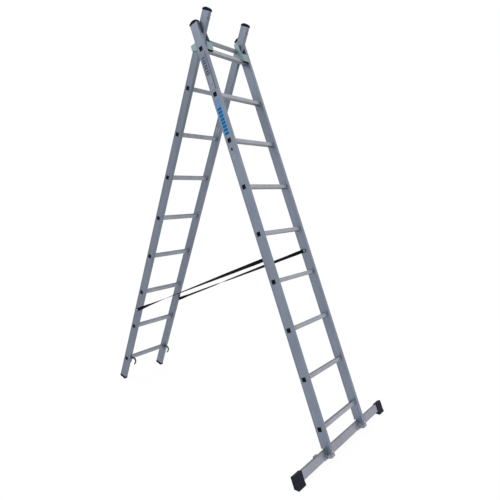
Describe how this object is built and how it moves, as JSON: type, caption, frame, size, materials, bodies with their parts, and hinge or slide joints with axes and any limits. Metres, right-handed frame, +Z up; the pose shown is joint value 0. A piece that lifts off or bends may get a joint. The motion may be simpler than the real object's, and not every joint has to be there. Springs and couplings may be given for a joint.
{
  "type": "combination extension ladder",
  "caption": "Combination extension ladder standing as an A-frame: a wide climbing section and a narrower folding support section, with square rungs, a floor stabiliser bar and spreader straps.",
  "frame": {"origin": "on the floor, midway between the front-most and rear-most points of the standing ladder and midway between its stiles", "axes": "+X towards the climbing side, +Y to the right of a climber on the front section, along the stabiliser bar, +Z up"},
  "size_m": [1.7992, 1.0934, 2.4608],
  "materials": {
    "stile_aluminium": "mill-finish extrusion, satin",
    "rung_aluminium": "mill-finish extrusion, satin",
    "bar_aluminium": "mill-finish extrusion, satin",
    "bracket_plate": "pale grey-green coating, satin",
    "zinc_hardware": "bright zinc",
    "dark_hardware": "blackened",
    "black_rubber": "moulded, matt",
    "grey_plastic": "moulded, matt",
    "webbing": "woven webbing"
  },
  "bodies": {
    "front_section": {"bar_bolts": "zinc_hardware", "bar_bracket_left": "bar_aluminium", "bar_bracket_right": "bar_aluminium", "bar_bracket_rivets": "zinc_hardware", "bar_bracket_screws": "dark_hardware", "bar_clip": "grey_plastic", "bar_shoe_left": "black_rubber", "bar_shoe_right": "black_rubber", "bracket_pad_left": "black_rubber", "bracket_pad_right": "black_rubber", "bracket_rivets": "zinc_hardware", "front_cap_left": "black_rubber", "front_cap_right": "black_rubber", "front_rung_1": "rung_aluminium", "front_rung_2": "rung_aluminium", "front_rung_3": "rung_aluminium", "front_rung_4": "rung_aluminium", "front_rung_5": "rung_aluminium", "front_rung_6": "rung_aluminium", "front_rung_7": "rung_aluminium", "front_rung_8": "rung_aluminium", "front_rung_9": "rung_aluminium", "front_stile_left": "stile_aluminium", "front_stile_right": "stile_aluminium", "stabiliser_bar": "bar_aluminium", "strap_bolts_front": "zinc_hardware", "strap_washers_front": "zinc_hardware", "tongue_plug_left": "black_rubber", "tongue_plug_right": "black_rubber", "top_bracket_left": "bracket_plate", "top_bracket_right": "bracket_plate"},
    "rear_section": {"hook_left": "bracket_plate", "hook_right": "bracket_plate", "hook_rivets": "zinc_hardware", "rear_cap_left": "black_rubber", "rear_cap_right": "black_rubber", "rear_foot_left": "black_rubber", "rear_foot_right": "black_rubber", "rear_rung_1": "rung_aluminium", "rear_rung_2": "rung_aluminium", "rear_rung_3": "rung_aluminium", "rear_rung_4": "rung_aluminium", "rear_rung_5": "rung_aluminium", "rear_rung_6": "rung_aluminium", "rear_rung_7": "rung_aluminium", "rear_rung_8": "rung_aluminium", "rear_rung_9": "rung_aluminium", "rear_stile_left": "stile_aluminium", "rear_stile_right": "stile_aluminium", "stop_pegs": "grey_plastic", "strap_bolts_rear": "zinc_hardware", "strap_left": "webbing", "strap_right": "webbing", "strap_washers_rear": "zinc_hardware"}
  },
  "joints": [
    {"name": "rear_section_fold", "type": "hinge", "parent": "front_section", "child": "rear_section", "pos_m": [-0.10736, 0, 2.29339], "axis": [0, -1, 0], "range_deg": [0, 15], "deforming": ["strap_left", "strap_right"]}
  ]
}
